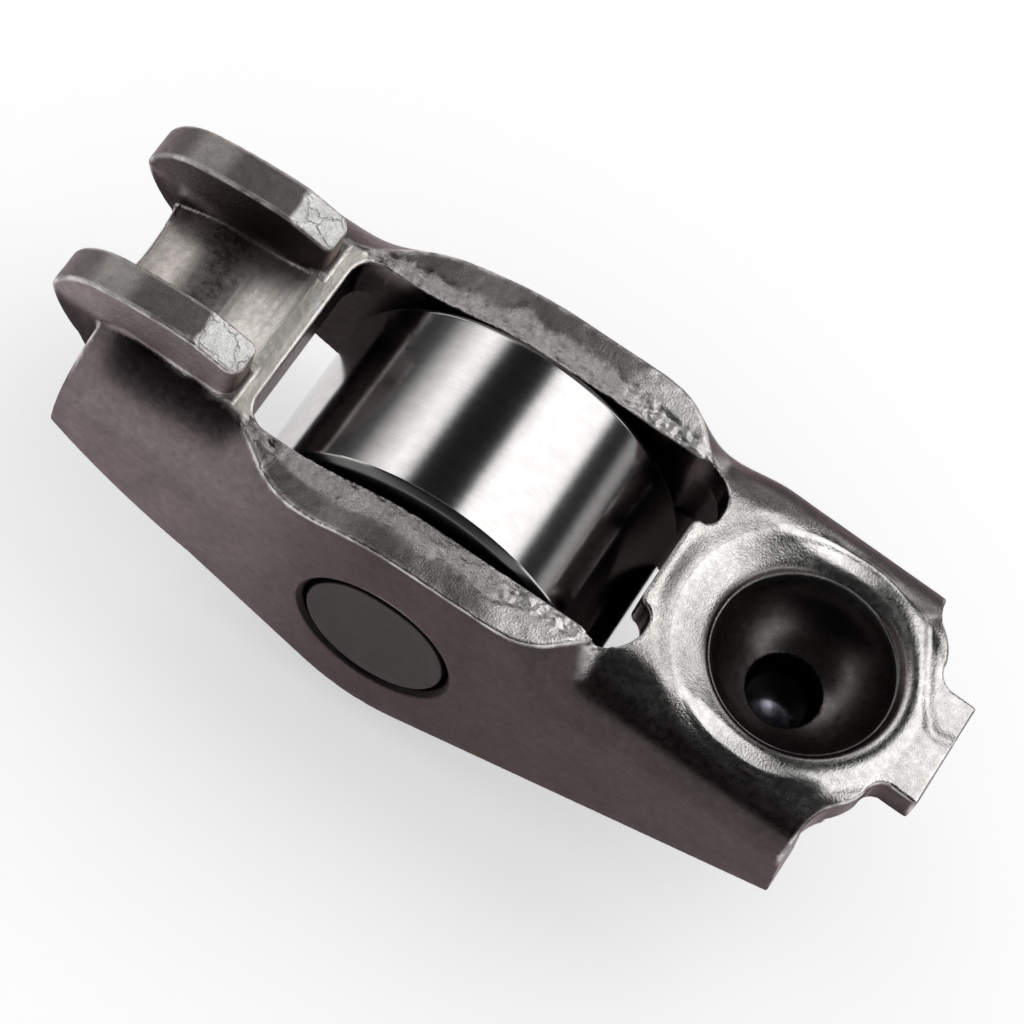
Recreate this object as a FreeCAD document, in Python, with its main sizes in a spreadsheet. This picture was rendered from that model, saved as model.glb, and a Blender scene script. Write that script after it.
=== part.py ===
import FreeCAD, Part
import math
import os
import re
import Sketcher

# Roller finger rocker arm, millimetres.
# The origin is the middle of the roller's axis. X runs along the arm from the valve end
# to the ball socket, Y runs along the axle, and Z points out of the web, so the valve pad
# and the socket open towards +Z and the roller stands out of the channel towards -Z.

DOC = FreeCAD.newDocument("rocker_arm")

# Driving dimensions and what follows from them.
SIZES = {
    # body, one pressed sheet
    "body_width": 16.6,
    "wall_thickness": 2.8,
    "web_thickness": 2.3,
    "valve_wall_end": -19.1,
    "socket_wall_end": 22.7,
    "wall_end_lean": 0.4,
    "valve_corner_height": 0.4,
    "belly_end": -10.2,
    "belly_height": -3.75,
    "belly_radius": 28.0,
    "socket_corner_height": 1.0,
    "boss_radius": 7.3,
    # shoulders, the bend between web and wall
    "shoulder_radius": 5.2,
    "shoulder_radius_socket": 3.4,
    "shoulder_change_from": 8.0,
    "shoulder_change_to": 13.0,
    "valve_crest": 7.6,
    "straight_crest": 13.4,
    "neck_crest": 8.4,
    "tongue_crest": 7.5,
    "straighten_from": -11.6,
    "straighten_to": -2.6,
    "bend_from": 4.1,
    "bend_to": 10.6,
    "valve_fall_from": -16.8,
    "valve_fall": 0.9,
    # sheared top edge of the walls beside the roller
    "ridge_top": 7.05,
    "ridge_thickness": 3.4,
    "wall_top": 8.55,
    "rise_start": -8.6,
    "rise_end": 0.0,
    "top_cut_reach": 3.0,
    # window for the roller
    "window_valve_end": -10.7,
    "window_socket_end": 9.85,
    "window_corner": 1.3,
    "bay_depth": 1.0,
    "bay_corner": 1.9,
    "bay_reach": 0.2,
    "lobe_half_width": 2.7,
    "lobe_corner": 0.5,
    "bay_inner_corner": 0.75,
    "bay_from": 1.4,
    "bay_lead": 0.4,
    # guide ears
    "guide_gap": 6.2,
    "ear_thickness": 2.15,
    "ear_end": -11.7,
    "ear_outer_corner": 0.85,
    "ear_inner_corner": 0.55,
    "ear_height": 9.95,
    "ear_end_height": 9.35,
    "facet_length": 2.6,
    "brow_x": -19.4,
    "brow_height": 9.4,
    "brow_radius": 22.0,
    "tip_x": -22.0,
    "tip_height": 6.9,
    "tip_radius": 3.2,
    "chin_x": -20.0,
    "chin_height": 3.85,
    "chin_radius": 6.0,
    "chin_drop": 1.4,
    # valve pad
    "pad_radius": 8.5,
    "pad_crown_x": -15.3,
    "pad_crown_height": 6.41,
    "pad_end": -19.9,
    "pad_end_hollow": 0.3,
    "pad_edge_radius": 0.6,
    "valley_x": -13.5,
    "valley_radius": 2.0,
    "ridge_slope": 35.0,
    "ridge_round": 1.0,
    "slot_reach": 0.6,
    "roof_edge": 0.5,
    # tongue and notches at the socket end
    "tongue_end": 26.2,
    "tongue_half_width": 3.05,
    "notch_root": 23.85,
    "notch_width": 1.0,
    "notch_radius": 0.9,
    "trim_y": 7.3,
    "trim_bend_y": 5.5,
    "trim_bend_x": 23.0,
    "trim_radius": 2.6,
    "notch_run_radius": 3.0,
    "notch_lead": 0.75,
    "web_clear": 0.1,
    # ball socket
    "socket_x": 18.06,
    "ball_radius": 4.65,
    "ball_height": 7.8,
    "rim_height": 7.05,
    "mouth_width": 1.6,
    "mouth_apron": 0.7,
    "apron_rise": 0.05,
    "lip_width": 0.8,
    "lip_height": 8.25,
    "lip_foot_radius": 6.6,
    "lip_foot_height": 7.55,
    "recess_radius": 1.9,
    "recess_bottom": 1.9,
    "recess_corner": 0.15,
    "dimple_radius": 1.0,
    "dimple_drop": 0.4,
    "dimple_depth": 0.3,
    "cup_wall": 1.9,
    "cup_boss_radius": 3.4,
    "cup_foot_radius": 0.5,
    "cup_shoulder_drop": 1.6,
    "lip_root": 1.0,
    "cup_bottom": -0.1,
    # axle
    "axle_radius": 4.1,
    "axle_inset": 0.05,
    "axle_chamfer": 0.22,
    "hole_chamfer": 0.3,
    "dish_radius": 3.3,
    "dish_depth": 0.16,
    # roller and needles
    "roller_radius": 9.6,
    "roller_side_gap": 0.4,
    "roller_chamfer": 0.35,
    "needle_radius": 0.75,
    "needle_recess": 0.3,
    "needle_edge": 0.2,
    "running_clearance": 0.02,
}

DERIVED = {
    "half_width": "body_width / 2",
    "inner_half": "body_width / 2 - wall_thickness",
    "ear_outer": "guide_gap / 2 + ear_thickness",
    "rise_middle": "(rise_start + rise_end) / 2",
    "rise_middle_height": "(ridge_top + wall_top) / 2",
    "rise_radius": "((rise_end - rise_start)^2 + (wall_top - ridge_top)^2)"
                   " / (4 * (wall_top - ridge_top))",
    "bay_end": "window_socket_end + bay_depth",
    "bay_side": "inner_half + bay_reach",
    "socket_shoulder_end": "socket_wall_end - wall_end_lean",
    "pad_axis_height": "pad_crown_height - pad_radius",
    "pad_edge_x": "(pad_end + pad_edge_radius * (1 - pad_crown_x / pad_radius))"
                  " / (1 - pad_edge_radius / pad_radius)",
    "pad_edge_top": "pad_axis_height + sqrt(pad_radius^2 - (pad_edge_x - pad_crown_x)^2)",
    "pad_edge_foot": "pad_edge_top - pad_edge_radius * (pad_edge_top - pad_axis_height)"
                     " / pad_radius",
    "rim_radius": "sqrt(ball_radius^2 - (ball_height - rim_height)^2)",
    "mouth_rise": "lip_height - rim_height",
    "mouth_radius": "(mouth_width^2 + mouth_rise^2) / (2 * mouth_rise)",
    "under_web": "tongue_crest - web_thickness - web_clear",
    "guide_half": "guide_gap / 2",
    "valley_axis_height": "pad_axis_height"
                          " + sqrt((pad_radius + valley_radius)^2"
                          " - (valley_x - pad_crown_x)^2)",
    "valley_height": "valley_axis_height - valley_radius",
    "pad_share": "pad_radius / (pad_radius + valley_radius)",
    "valley_start": "pad_crown_x + (valley_x - pad_crown_x) * pad_share",
    "valley_start_height": "pad_axis_height"
                           " + (valley_axis_height - pad_axis_height) * pad_share",
    "slope_foot": "valley_x + valley_radius * sin(1deg * ridge_slope)",
    "slope_foot_height": "valley_axis_height - valley_radius * cos(1deg * ridge_slope)",
    "slope_head_height": "ridge_top - ridge_round * (1 - cos(1deg * ridge_slope))",
    "slope_head": "slope_foot + (slope_head_height - slope_foot_height)"
                  " / tan(1deg * ridge_slope)",
    "ridge_start": "slope_head + ridge_round * sin(1deg * ridge_slope)",
    "roller_width": "body_width - 2 * wall_thickness - 2 * roller_side_gap",
    "needle_length": "body_width - 2 * wall_thickness"
                     " - 2 * (roller_side_gap + needle_recess)",
    "needle_pitch": "axle_radius + needle_radius + running_clearance",
    "race_radius": "axle_radius + 2 * needle_radius + 2 * running_clearance",
    "needle_count": "floor(180deg / asin((needle_radius + running_clearance) / needle_pitch))",
}

# Distance past the part's faces at which a cutting outline closes.
BEYOND = 6.0
WINDOW_PAST_ROOF = 1.0
EAR_CUT_SPARE = 0.3

# Sections of the sheet's outside, evenly spaced along X, the last past the tongue's end.
SECTION_COUNT = 31
SECTION_SPARE = 1.0


def ease(place, start, end):
    """A formula that goes smoothly from 0 at one place to 1 at another."""
    share = "min(1; max(0; (%s - %s) / (%s - %s)))" % (place, start, end, start)
    return "(%s)^2 * (3 - 2 * %s)" % (share, share)


def add_section_cells():
    """Place, crest height and shoulder radius of each section of the outside.

    The crest is where the top would be with the bend complete. Beside the roller the
    wall stands up straight, so there the crest lies above the sheared edge.
    """
    for i in range(SECTION_COUNT):
        place = "station%02d" % i
        DERIVED[place] = ("tip_x + (tongue_end + %g - tip_x) * %d / %d"
                          % (SECTION_SPARE, i, SECTION_COUNT - 1))
        straight = ease(place, "straighten_from", "straighten_to")
        bent = ease(place, "bend_from", "bend_to")
        slope = "(neck_crest - tongue_crest) / (tongue_end - bend_to)"
        DERIVED["crest%02d" % i] = (
            "valve_crest + (straight_crest - valve_crest) * (%s)"
            " - (straight_crest - neck_crest) * (%s)"
            " - max(0; %s - bend_to) * %s"
            " - valve_fall * (max(0; valve_fall_from - %s)"
            " / (valve_fall_from - valve_wall_end))^2"
            % (straight, bent, place, slope, place))
        DERIVED["corner%02d" % i] = (
            "shoulder_radius - (shoulder_radius - shoulder_radius_socket) * (%s)"
            % ease(place, "shoulder_change_from", "shoulder_change_to"))


add_section_cells()


def make_sheet():
    """Writes every size into the document's spreadsheet, with its name as alias."""
    sheet = DOC.addObject("Spreadsheet::Sheet", "Sizes")
    row = 1
    for name, value in SIZES.items():
        sheet.set("A%d" % row, name)
        sheet.set("B%d" % row, str(value))
        sheet.setAlias("B%d" % row, name)
        row += 1
    for name, formula in DERIVED.items():
        sheet.set("A%d" % row, name)
        sheet.set("B%d" % row, "=" + formula)
        sheet.setAlias("B%d" % row, name)
        row += 1
    DOC.recompute()
    return sheet


SHEET = make_sheet()
NAMES = re.compile(r"\b(" + "|".join(list(SIZES) + list(DERIVED)) + r")\b")


def size(name):
    """The number in a named cell."""
    return float(SHEET.get(name))


def bound(formula):
    """A formula of size names, written as an expression on the sheet's cells."""
    return NAMES.sub(r"Sizes.\1", str(formula))


def value(formula):
    """What such a formula comes to now."""
    return float(SHEET.evalExpression(bound(formula)))


def plane(body, role):
    """One of a body's own origin planes, by its role."""
    for feature in body.Origin.OriginFeatures:
        if feature.Role == role:
            return feature
    raise ValueError(role)


def new_body(name):
    """An empty body with its own label and placement."""
    body = DOC.addObject("PartDesign::Body", name)
    body.Label = name
    return body


def new_sketch(body, name, role, offset=None, shift=None):
    """A sketch on one of the body's origin planes.

    The offset moves it along its normal and the shift along its own first axis.
    """
    sketch = body.newObject("Sketcher::SketchObject", name)
    sketch.AttachmentSupport = [(plane(body, role), "")]
    sketch.MapMode = "FlatFace"
    if offset is not None:
        sketch.setExpression(".AttachmentOffset.Base.z", bound(offset))
    if shift is not None:
        sketch.setExpression(".AttachmentOffset.Base.x", bound(shift))
    return sketch


def bind(sketch, kind, where, formula):
    """Adds one dimension to a sketch and ties it to a formula."""
    index = sketch.addConstraint(Sketcher.Constraint(kind, *where, value(formula)))
    sketch.setExpression("Constraints[%d]" % index, bound(formula))


def arc_through(start, end, radius):
    """The short arc between two points; a positive radius turns left on the way."""
    turn = math.copysign(1.0, radius)
    chord = end - start
    sagitta_leg = math.sqrt(max(radius * radius - chord.Length ** 2 / 4, 0.0))
    normal = FreeCAD.Vector(-chord.y, chord.x, 0).normalize() * turn
    centre = (start + end) / 2 + normal * sagitta_leg
    middle = centre - normal * abs(radius)
    return Part.Arc(start, middle, end)


def draw_loop(sketch, corners):
    """Draws one closed outline.

    A corner is (x, y) or (x, y, radius) with formulas; a radius makes the piece that
    arrives there an arc that turns left, or right where turn is -1: (x, y, radius, turn).
    """
    points = [FreeCAD.Vector(value(c[0]), value(c[1]), 0) for c in corners]
    edges = []
    for i, corner in enumerate(corners):
        start, end = points[i - 1], points[i]
        if len(corner) == 2:
            curve = Part.LineSegment(start, end)
        else:
            turn = corner[3] if len(corner) == 4 else 1
            curve = arc_through(start, end, value(corner[2]) * turn)
        edge = sketch.addGeometry(curve, False)
        turns_right = len(corner) == 4 and corner[3] < 0
        edges.append((edge, 2 if turns_right else 1, 1 if turns_right else 2))
        if len(corner) > 2:
            bind(sketch, "Radius", (edge,), corner[2])
    for i, corner in enumerate(corners):
        edge, _, last = edges[i]
        following, first, _ = edges[(i + 1) % len(edges)]
        sketch.addConstraint(Sketcher.Constraint("Coincident", edge, last, following, first))
        bind(sketch, "DistanceX", (-1, 1, edge, last), corner[0])
        bind(sketch, "DistanceY", (-1, 1, edge, last), corner[1])


def both_sides(half):
    """Half an outline, then its mirror image back on the other side of the X axis."""
    other = []
    for i in range(len(half) - 1, -1, -1):
        point = (half[i][0], "-(%s)" % half[i][1])
        arriving = half[i + 1] if i + 1 < len(half) else ()
        if len(arriving) > 2:
            point += (arriving[2], arriving[3] if len(arriving) == 4 else 1)
        other.append(point)
    return half + other


def extrude(body, kind, name, sketch, length, from_middle=True, backwards=False):
    """A pad or pocket of a sketch, over a length given by a formula."""
    feature = body.newObject("PartDesign::" + kind, name)
    feature.Profile = sketch
    feature.Type = "Length"
    feature.SideType = "Symmetric" if from_middle else "One side"
    feature.Reversed = backwards
    feature.setExpression("Length", bound(length))
    DOC.recompute()
    return feature


def turn(body, kind, name, sketch):
    """A revolution or groove of a sketch, once round the sketch's own vertical axis."""
    feature = body.newObject("PartDesign::" + kind, name)
    feature.Profile = sketch
    feature.ReferenceAxis = (sketch, ["V_Axis"])
    feature.Angle = 360.0
    DOC.recompute()
    return feature


def add_outside(body):
    """The outside of the pressed sheet, a smooth loft along X."""
    sketches = []
    low = "-(boss_radius + %g)" % BEYOND
    for i in range(SECTION_COUNT):
        crest = "crest%02d" % i
        corner = "corner%02d" % i
        sketch = new_sketch(body, "Section%02d" % i, "YZ_Plane", "station%02d" % i)
        draw_loop(sketch, [
            ("-half_width", low),
            ("half_width", low),
            ("half_width", "%s - %s" % (crest, corner)),
            ("half_width - %s" % corner, crest, corner),
            ("-(half_width - %s)" % corner, crest),
            ("-half_width", "%s - %s" % (crest, corner), corner),
        ])
        sketches.append(sketch)
    DOC.recompute()
    loft = body.newObject("PartDesign::AdditiveLoft", "Outside")
    loft.Profile = sketches[0]
    loft.Sections = sketches[1:]
    loft.Ruled = False
    DOC.recompute()


def trim_top(body):
    """The sheared edge: low at the valve end, rising beside the roller."""
    sketch = new_sketch(body, "TopTrim", "XZ_Plane")
    draw_loop(sketch, [
        ("valve_wall_end - %g" % BEYOND, "ridge_top"),
        ("rise_start", "ridge_top"),
        ("rise_middle", "rise_middle_height", "rise_radius"),
        ("rise_end", "wall_top", "rise_radius", -1),
        ("window_socket_end + top_cut_reach", "wall_top"),
        ("window_socket_end + top_cut_reach", "straight_crest + %g" % BEYOND),
        ("valve_wall_end - %g" % BEYOND, "straight_crest + %g" % BEYOND),
    ])
    extrude(body, "Pocket", "TopCut", sketch, "body_width + 2 * %g" % BEYOND)


def tangent_point(x, z, side):
    """Where a line from a wall corner meets the round boss under the axle."""
    radius = size("boss_radius")
    reach = math.hypot(x, z)
    angle = math.atan2(z, x) + side * math.acos(radius / reach)
    return FreeCAD.Vector(radius * math.cos(angle), radius * math.sin(angle), 0)


def trim_sides(body):
    """The walls' lower edge: a slight belly, then runs tangent to the boss."""
    sketch = new_sketch(body, "WallOutline", "XZ_Plane")
    valve_end = size("valve_wall_end")
    valve_corner = size("valve_corner_height")
    socket_end = size("socket_wall_end")
    socket_corner = size("socket_corner_height")
    belly = FreeCAD.Vector(size("belly_end"), size("belly_height"), 0)
    left_touch = tangent_point(belly.x, belly.y, 1)
    right_touch = tangent_point(socket_end, socket_corner, -1)
    bottom = FreeCAD.Vector(0, -size("boss_radius"), 0)
    far_left = value("valve_wall_end - %g" % BEYOND)
    far_right = value("tongue_end + %g" % BEYOND)
    lowest = value("-(boss_radius + 2 * %g)" % BEYOND)
    under_web = size("under_web")
    points = [
        FreeCAD.Vector(valve_end, valve_corner, 0),
        FreeCAD.Vector(valve_end, value("straight_crest + %g" % BEYOND), 0),
        FreeCAD.Vector(far_left, value("straight_crest + %g" % BEYOND), 0),
        FreeCAD.Vector(far_left, lowest, 0),
        FreeCAD.Vector(far_right, lowest, 0),
        FreeCAD.Vector(far_right, under_web, 0),
        FreeCAD.Vector(value("socket_shoulder_end"), under_web, 0),
        FreeCAD.Vector(socket_end, socket_corner, 0),
    ]
    lines = []
    for start, end in zip(points, points[1:]):
        lines.append(sketch.addGeometry(Part.LineSegment(start, end), False))
    lines.append(sketch.addGeometry(Part.LineSegment(points[-1], right_touch), False))
    arc = sketch.addGeometry(Part.Arc(left_touch, bottom, right_touch), False)
    closing = sketch.addGeometry(Part.LineSegment(left_touch, belly), False)
    round_run = arc_through(points[0], belly, size("belly_radius"))
    curve = sketch.addGeometry(round_run, False)
    for first, second in zip(lines, lines[1:]):
        sketch.addConstraint(Sketcher.Constraint("Coincident", first, 2, second, 1))
    sketch.addConstraint(Sketcher.Constraint("Coincident", curve, 1, lines[0], 1))
    sketch.addConstraint(Sketcher.Constraint("Coincident", closing, 2, curve, 2))
    bind(sketch, "Radius", (curve,), "belly_radius")
    bind(sketch, "DistanceX", (-1, 1, curve, 2), "belly_end")
    bind(sketch, "DistanceY", (-1, 1, curve, 2), "belly_height")
    sketch.addConstraint(Sketcher.Constraint("Tangent", lines[-1], 2, arc, 2))
    sketch.addConstraint(Sketcher.Constraint("Tangent", closing, 1, arc, 1))
    sketch.addConstraint(Sketcher.Constraint("Coincident", arc, 3, -1, 1))
    bind(sketch, "Radius", (arc,), "boss_radius")
    places = [
        ("valve_wall_end", "valve_corner_height"),
        ("valve_wall_end", "straight_crest + %g" % BEYOND),
        ("valve_wall_end - %g" % BEYOND, "straight_crest + %g" % BEYOND),
        ("valve_wall_end - %g" % BEYOND, "-(boss_radius + 2 * %g)" % BEYOND),
        ("tongue_end + %g" % BEYOND, "-(boss_radius + 2 * %g)" % BEYOND),
        ("tongue_end + %g" % BEYOND, "under_web"),
        ("socket_shoulder_end", "under_web"),
        ("socket_wall_end", "socket_corner_height"),
    ]
    for line, (x, z) in zip(lines, places):
        bind(sketch, "DistanceX", (-1, 1, line, 1), x)
        bind(sketch, "DistanceY", (-1, 1, line, 1), z)
    extrude(body, "Pocket", "WallCut", sketch, "body_width + 2 * %g" % BEYOND)


def trim_socket_end(body):
    """The tongue with a notch beside it, and the walls' end, seen in plan."""
    sketch = new_sketch(body, "EndTrim", "XY_Plane", "straight_crest")
    draw_loop(sketch, both_sides([
        ("tongue_end + %g" % BEYOND, "half_width + %g" % BEYOND),
        ("socket_shoulder_end", "half_width + %g" % BEYOND),
        ("socket_shoulder_end", "trim_y"),
        ("trim_bend_x", "trim_bend_y", "trim_radius"),
        ("notch_root", "tongue_half_width + notch_width", "notch_run_radius", -1),
        ("notch_root + notch_lead", "tongue_half_width", "notch_radius"),
        ("tongue_end", "tongue_half_width"),
    ]))
    extrude(body, "Pocket", "EndCut", sketch, "straight_crest - under_web + web_clear / 2",
            from_middle=False)


def add_ears(body):
    """A block with the ears' outline; the slot between the ears is cut out later."""
    sketch = new_sketch(body, "EarOutline", "XZ_Plane")
    draw_loop(sketch, [
        ("ear_end", "ridge_top - web_thickness"),
        ("ear_end", "ear_end_height"),
        ("ear_end - facet_length", "ear_height"),
        ("brow_x", "brow_height", "brow_radius"),
        ("tip_x", "tip_height", "tip_radius"),
        ("chin_x", "chin_height", "chin_radius"),
        ("valve_wall_end", "chin_height - chin_drop"),
    ])
    extrude(body, "Pad", "Ears", sketch, "2 * ear_outer")


def cut_channel(body):
    """The inside of the channel, from the cam side up to the web."""
    sketch = new_sketch(body, "ChannelOutline", "XZ_Plane")
    draw_loop(sketch, [
        ("valve_wall_end - %g" % BEYOND, "pad_axis_height"),
        ("pad_crown_x - (pad_radius - web_thickness)", "pad_axis_height"),
        ("pad_crown_x", "pad_crown_height - web_thickness",
         "pad_radius - web_thickness", -1),
        ("valley_x", "valley_height - web_thickness"),
        ("slope_head", "ridge_top - ridge_thickness"),
        ("window_valve_end + roof_edge", "ridge_top - ridge_thickness"),
        ("window_socket_end - roof_edge", "neck_crest - web_thickness"),
        ("tongue_end + %g" % BEYOND, "tongue_crest - web_thickness"),
        ("tongue_end + %g" % BEYOND, "-(boss_radius + %g)" % BEYOND),
        ("valve_wall_end - %g" % BEYOND, "-(boss_radius + %g)" % BEYOND),
    ])
    extrude(body, "Pocket", "Channel", sketch, "2 * inner_half")


def cut_window(body):
    """The barrel-shaped window through the web, with a bay each side of the lobe."""
    sketch = new_sketch(body, "WindowOutline", "XY_Plane", "straight_crest")
    draw_loop(sketch, both_sides([
        ("window_valve_end", "inner_half - window_corner"),
        ("window_valve_end + window_corner", "inner_half", "window_corner", -1),
        ("window_socket_end - bay_from", "inner_half"),
        ("window_socket_end - bay_from + bay_lead", "bay_side"),
        ("bay_end - bay_corner", "bay_side"),
        ("bay_end", "bay_side - bay_corner", "bay_corner", -1),
        ("bay_end", "lobe_half_width + bay_inner_corner"),
        ("bay_end - bay_inner_corner", "lobe_half_width", "bay_inner_corner", -1),
        ("window_socket_end", "lobe_half_width - lobe_corner", "lobe_corner"),
    ]))
    extrude(body, "Pocket", "Window", sketch,
            "straight_crest - (ridge_top - ridge_thickness) + %g" % WINDOW_PAST_ROOF,
            from_middle=False)


def cut_valve_slot(body):
    """The slot between the ears, down to the crowned pad and the valley behind it."""
    sketch = new_sketch(body, "PadOutline", "XZ_Plane")
    draw_loop(sketch, [
        ("pad_end - %g" % BEYOND, "pad_edge_foot"),
        ("pad_end", "pad_edge_foot"),
        ("pad_edge_x", "pad_edge_top", "pad_edge_radius", -1),
        ("pad_crown_x", "pad_crown_height", "pad_radius", -1),
        ("valley_start", "valley_start_height", "pad_radius", -1),
        ("slope_foot", "slope_foot_height", "valley_radius"),
        ("slope_head", "slope_head_height"),
        ("ridge_start", "ridge_top", "ridge_round", -1),
        ("window_valve_end - slot_reach", "ridge_top"),
        ("window_valve_end - slot_reach", "ear_height + %g" % BEYOND),
        ("pad_end - %g" % BEYOND, "ear_height + %g" % BEYOND),
    ])
    extrude(body, "Pocket", "ValveSlot", sketch, "guide_gap")
    hollow = new_sketch(body, "PadEnd", "XY_Plane", "straight_crest")
    draw_loop(hollow, [
        ("pad_end", "guide_half"),
        ("pad_end", "-guide_half",
         "(guide_half^2 + pad_end_hollow^2) / (2 * pad_end_hollow)", -1),
        ("tip_x - %g" % BEYOND, "-guide_half"),
        ("tip_x - %g" % BEYOND, "guide_half"),
    ])
    extrude(body, "Pocket", "PadEndCut", hollow, "straight_crest + boss_radius",
            from_middle=False)


def round_ear_ends(body):
    """Rounds the upright edges at the end of each ear that faces the window."""
    sketch = new_sketch(body, "EarCorners", "XY_Plane", "straight_crest")
    outside = "ear_end + %g" % EAR_CUT_SPARE
    for side in (1, -1):
        outer = [
            ("ear_end - ear_outer_corner", "ear_outer"),
            ("ear_end", "ear_outer - ear_outer_corner", "ear_outer_corner", -side),
            (outside, "ear_outer - ear_outer_corner"),
            (outside, "ear_outer + %g" % EAR_CUT_SPARE),
            ("ear_end - ear_outer_corner", "ear_outer + %g" % EAR_CUT_SPARE),
        ]
        inner = [
            ("ear_end", "guide_half + ear_inner_corner"),
            ("ear_end - ear_inner_corner", "guide_half", "ear_inner_corner", -side),
            ("ear_end - ear_inner_corner", "guide_half - %g" % EAR_CUT_SPARE),
            (outside, "guide_half - %g" % EAR_CUT_SPARE),
            (outside, "guide_half + ear_inner_corner"),
        ]
        for loop in (outer, inner):
            draw_loop(sketch, [(c[0], "%d * (%s)" % (side, c[1])) + c[2:] for c in loop])
    extrude(body, "Pocket", "EarCornerCut", sketch, "straight_crest - ridge_top",
            from_middle=False)


def add_cup(body):
    """The drawn cup: a dome inside the channel and a low lip above the web."""
    outer = "(ball_radius + cup_wall)"
    sketch = new_sketch(body, "CupOutside", "XZ_Plane", shift="socket_x")
    draw_loop(sketch, [
        ("0", "cup_bottom"),
        ("cup_boss_radius - cup_foot_radius", "cup_bottom"),
        ("cup_boss_radius", "cup_bottom + cup_foot_radius", "cup_foot_radius"),
        ("cup_boss_radius", "ball_height - sqrt(%s^2 - cup_boss_radius^2)" % outer),
        ("sqrt(%s^2 - cup_shoulder_drop^2)" % outer, "ball_height - cup_shoulder_drop", outer),
        ("lip_foot_radius", "lip_foot_height - lip_root"),
        ("lip_foot_radius", "lip_foot_height"),
        ("rim_radius + lip_width", "lip_height"),
        ("0", "lip_height"),
    ])
    turn(body, "Revolution", "Cup", sketch)


def cut_socket(body):
    """The spherical socket, its bell mouth, and the oil recess at its bottom."""
    sketch = new_sketch(body, "Socket", "XZ_Plane", shift="socket_x")
    dimple = "(dimple_radius^2 + dimple_depth^2) / (2 * dimple_depth)"
    draw_loop(sketch, [
        ("0", "recess_bottom - dimple_drop - dimple_depth"),
        ("dimple_radius", "recess_bottom - dimple_drop", dimple),
        ("recess_radius - recess_corner", "recess_bottom"),
        ("recess_radius", "ball_height - sqrt(ball_radius^2 - recess_radius^2)"),
        ("rim_radius", "rim_height", "ball_radius"),
        ("rim_radius + mouth_width", "lip_height", "mouth_radius", -1),
        ("rim_radius + mouth_width + mouth_apron", "lip_height + apron_rise"),
        ("rim_radius + mouth_width + mouth_apron", "straight_crest"),
        ("0", "straight_crest"),
    ])
    turn(body, "Groove", "SocketCut", sketch)


def drill_axle_hole(body):
    """The hole for the axle through both walls, countersunk outside."""
    half = [
        ("0", "half_width + %g" % BEYOND),
        ("axle_radius + hole_chamfer + %g" % BEYOND, "half_width + %g" % BEYOND),
        ("axle_radius", "half_width - hole_chamfer"),
    ]
    low = [(x, "-(%s)" % y) for x, y in half]
    sketch = new_sketch(body, "AxleHole", "XY_Plane")
    draw_loop(sketch, low + half[::-1])
    turn(body, "Groove", "AxleHoleCut", sketch)


def make_arm_body():
    """The arm's body, pressed from one sheet."""
    body = new_body("arm_body")
    add_outside(body)
    trim_top(body)
    trim_sides(body)
    trim_socket_end(body)
    add_ears(body)
    cut_channel(body)
    cut_window(body)
    cut_valve_slot(body)
    round_ear_ends(body)
    add_cup(body)
    cut_socket(body)
    drill_axle_hole(body)
    return body


def make_axle():
    """The axle, pressed in and staked: a rim and a shallow dish at each end."""
    body = new_body("axle")
    end = "(half_width - axle_inset)"
    half = [
        ("0", end + " - dish_depth"),
        ("dish_radius - dish_depth", end + " - dish_depth"),
        ("dish_radius", end),
        ("axle_radius - axle_chamfer", end),
        ("axle_radius", end + " - axle_chamfer"),
    ]
    low = [(x, "-(%s)" % y) for x, y in half]
    sketch = new_sketch(body, "AxleOutline", "XY_Plane")
    draw_loop(sketch, low + half[::-1])
    turn(body, "Revolution", "AxleTurned", sketch)
    return body


def make_roller():
    """The roller, a ring with a chamfer at each rim inside and out."""
    body = new_body("roller")
    half = "roller_width / 2"
    upper = [
        ("roller_radius", half + " - roller_chamfer"),
        ("roller_radius - roller_chamfer", half),
        ("race_radius + roller_chamfer", half),
        ("race_radius", half + " - roller_chamfer"),
    ]
    lower = [(x, "-(%s)" % y) for x, y in upper]
    sketch = new_sketch(body, "RollerOutline", "XY_Plane")
    draw_loop(sketch, upper + lower[::-1])
    turn(body, "Revolution", "RollerTurned", sketch)
    return body


def make_needle(number):
    """One needle of the full ring between axle and roller."""
    body = new_body("needle_%02d" % (number + 1))
    sketch = new_sketch(body, "NeedleOutline%02d" % number, "XY_Plane")
    draw_loop(sketch, [
        ("needle_radius", "needle_length / 2 - needle_edge"),
        ("needle_radius - needle_edge", "needle_length / 2", "needle_edge"),
        ("0", "needle_length / 2"),
        ("0", "-needle_length / 2"),
        ("needle_radius - needle_edge", "-needle_length / 2"),
        ("needle_radius", "-needle_length / 2 + needle_edge", "needle_edge"),
    ])
    turn(body, "Revolution", "NeedleTurned%02d" % number, sketch)
    angle = "360deg * %d / needle_count" % number
    body.setExpression(".Placement.Base.x", bound("needle_pitch * cos(%s)" % angle))
    body.setExpression(".Placement.Base.z", bound("needle_pitch * sin(%s)" % angle))
    return body


def check_and_write(bodies):
    """Stops on a failed object or a bad shape, then writes one file for each piece."""
    DOC.recompute()
    for item in DOC.Objects:
        if "Invalid" in item.State or "Error" in item.State:
            raise RuntimeError("%s failed: %s" % (item.Name, item.State))
    os.makedirs("parts", exist_ok=True)
    for body in bodies:
        if body.Shape.isNull() or not body.Shape.isValid():
            raise RuntimeError("%s has a bad shape" % body.Label)
        if len(body.Shape.Solids) != 1:
            raise RuntimeError("%s is %d solids" % (body.Label, len(body.Shape.Solids)))
        body.Shape.exportStep("parts/%s.step" % body.Label)


pieces = [make_arm_body(), make_axle(), make_roller()]
pieces += [make_needle(i) for i in range(int(size("needle_count")))]
check_and_write(pieces)
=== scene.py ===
import math

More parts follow.
